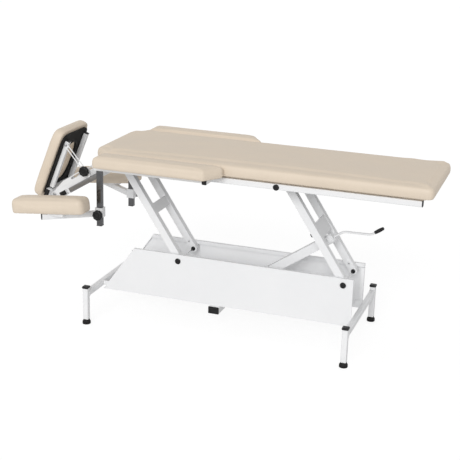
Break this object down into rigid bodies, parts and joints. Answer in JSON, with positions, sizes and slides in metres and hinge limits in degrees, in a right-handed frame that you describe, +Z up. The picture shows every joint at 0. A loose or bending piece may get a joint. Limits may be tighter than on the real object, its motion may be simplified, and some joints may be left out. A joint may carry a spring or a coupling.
{
  "type": "massage table",
  "caption": "Crank-lift massage table with a padded bed, side pads, sliding forearm rests and a tilting face panel on a white steel frame.",
  "frame": {"origin": "on the floor, under the middle of the bounding box", "axes": "+X along the bed towards the foot end, +Y towards the far side, +Z up"},
  "size_m": [2.2161, 0.85, 1.0202],
  "materials": {
    "white_paint": "satin",
    "black_plastic": "matte",
    "black_board": "matte",
    "chrome": "polished",
    "steel": "satin",
    "upholstery": "satin"
  },
  "bodies": {
    "base": {"side_plate_near": "white_paint", "side_plate_far": "white_paint", "leg_frame_head": "white_paint", "leg_frame_foot": "white_paint", "leg_cap_head_near": "black_plastic", "leg_cap_head_far": "black_plastic", "leg_cap_foot_near": "black_plastic", "leg_cap_foot_far": "black_plastic", "foot_head_near": "black_plastic", "foot_head_far": "black_plastic", "foot_foot_near": "black_plastic", "foot_foot_far": "black_plastic", "cross_tube": "white_paint", "cross_tube_cap_near": "black_plastic", "cross_tube_cap_far": "black_plastic", "lower_pin_head": "black_plastic", "lower_pin_foot": "black_plastic"},
    "foot_arm": {"lift_arm_foot": "white_paint", "arm_bumper": "black_plastic"},
    "head_arm": {"lift_arm_head": "white_paint"},
    "jack_rod": {"jack_screw": "steel"},
    "jack_body": {"jack_tube": "white_paint"},
    "crank_handle": {"crank": "white_paint", "crank_grip": "black_plastic"},
    "top": {"rail_near": "white_paint", "rail_far": "white_paint", "rail_cap_near": "black_plastic", "rail_cap_far": "black_plastic", "cross_bar_head": "white_paint", "cross_bar_foot": "white_paint", "pad_bearer_near": "white_paint", "pad_bearer_far": "white_paint", "bearer_cap_near": "black_plastic", "bearer_cap_far": "black_plastic", "bed_board": "black_board", "main_cushion": "upholstery", "side_pad_near": "upholstery", "side_pad_far": "upholstery", "upper_pin_head": "black_plastic", "upper_pin_foot": "black_plastic", "post_near": "chrome", "post_far": "chrome"},
    "rest_near": {"rest_arm_near": "white_paint", "rest_cap_near": "black_plastic", "rest_cushion_near": "upholstery"},
    "rest_far": {"rest_arm_far": "white_paint", "rest_cap_far": "black_plastic", "rest_cushion_far": "upholstery"},
    "knob_near": {"rest_knob_near": "black_plastic"},
    "knob_far": {"rest_knob_far": "black_plastic"},
    "head_section": {"head_tube_near": "chrome", "head_tube_far": "chrome", "head_yoke": "white_paint"},
    "face_panel": {"panel_cushion": "upholstery", "panel_board": "black_board", "panel_rail_near": "white_paint", "panel_rail_far": "white_paint", "panel_cross_bar": "white_paint"},
    "stay": {"panel_stay": "white_paint"},
    "clamp": {"panel_knob": "black_plastic"}
  },
  "joints": [
    {"name": "lift", "type": "hinge", "parent": "base", "child": "foot_arm", "pos_m": [0.6692, 0, 0.364], "axis": [0, 1, 0], "range_deg": [-19, 6]},
    {"name": "top_level", "type": "hinge", "parent": "foot_arm", "child": "top", "pos_m": [0.3277, 0, 0.8757], "axis": [0, 1, 0], "range_deg": [-7, 20]},
    {"name": "head_arm_pivot", "type": "hinge", "parent": "base", "child": "head_arm", "pos_m": [-0.2404, 0, 0.364], "axis": [0, 1, 0], "range_deg": [-20, 7]},
    {"name": "jack_foot", "type": "hinge", "parent": "base", "child": "jack_rod", "pos_m": [-0.0153, 0, 0.1657], "axis": [0, 1, 0], "range_deg": [-1, 1]},
    {"name": "jack_seat", "type": "hinge", "parent": "foot_arm", "child": "jack_body", "pos_m": [0.54485, 0, 0.55032], "axis": [0, 1, 0], "range_deg": [-7, 20]},
    {"name": "crank_turn", "type": "hinge", "parent": "jack_body", "child": "crank_handle", "pos_m": [0.54485, 0, 0.55032], "axis": [0.8244, 0, 0.566], "continuous": true},
    {"name": "rest_height_near", "type": "slide", "parent": "top", "child": "rest_near", "axis": [0, 0, 1], "range_m": [-0.04, 0.16]},
    {"name": "rest_height_far", "type": "slide", "parent": "top", "child": "rest_far", "axis": [0, 0, 1], "range_m": [-0.04, 0.16]},
    {"name": "rest_clamp_near", "type": "hinge", "parent": "rest_near", "child": "knob_near", "pos_m": [-0.66, -0.226, 0.599], "axis": [0, -1, 0], "continuous": true},
    {"name": "rest_clamp_far", "type": "hinge", "parent": "rest_far", "child": "knob_far", "pos_m": [-0.66, 0.226, 0.599], "axis": [0, 1, 0], "continuous": true},
    {"name": "head_reach", "type": "slide", "parent": "top", "child": "head_section", "axis": [0.8508, 0, 0.5255], "range_m": [0, 0.045]},
    {"name": "face_tilt", "type": "hinge", "parent": "head_section", "child": "face_panel", "pos_m": [-0.98898, 0, 0.6415], "axis": [0, 1, 0], "range_deg": [-6, 6]},
    {"name": "stay_pivot", "type": "hinge", "parent": "face_panel", "child": "stay", "pos_m": [-0.90761, -0.109, 0.93167], "axis": [0, 1, 0], "range_deg": [-1, 1]},
    {"name": "clamp_turn", "type": "hinge", "parent": "head_section", "child": "clamp", "pos_m": [-0.79419, -0.109, 0.79941], "axis": [0, -1, 0], "continuous": true}
  ],
  "couplings": [
    {"joint": "top_level", "follows": "lift", "ratio": -1},
    {"joint": "head_arm_pivot", "follows": "lift", "ratio": 1},
    {"joint": "jack_foot", "follows": "lift", "ratio": -0.036},
    {"joint": "jack_seat", "follows": "lift", "ratio": -1.036},
    {"joint": "stay_pivot", "follows": "face_tilt", "ratio": -0.03}
  ]
}
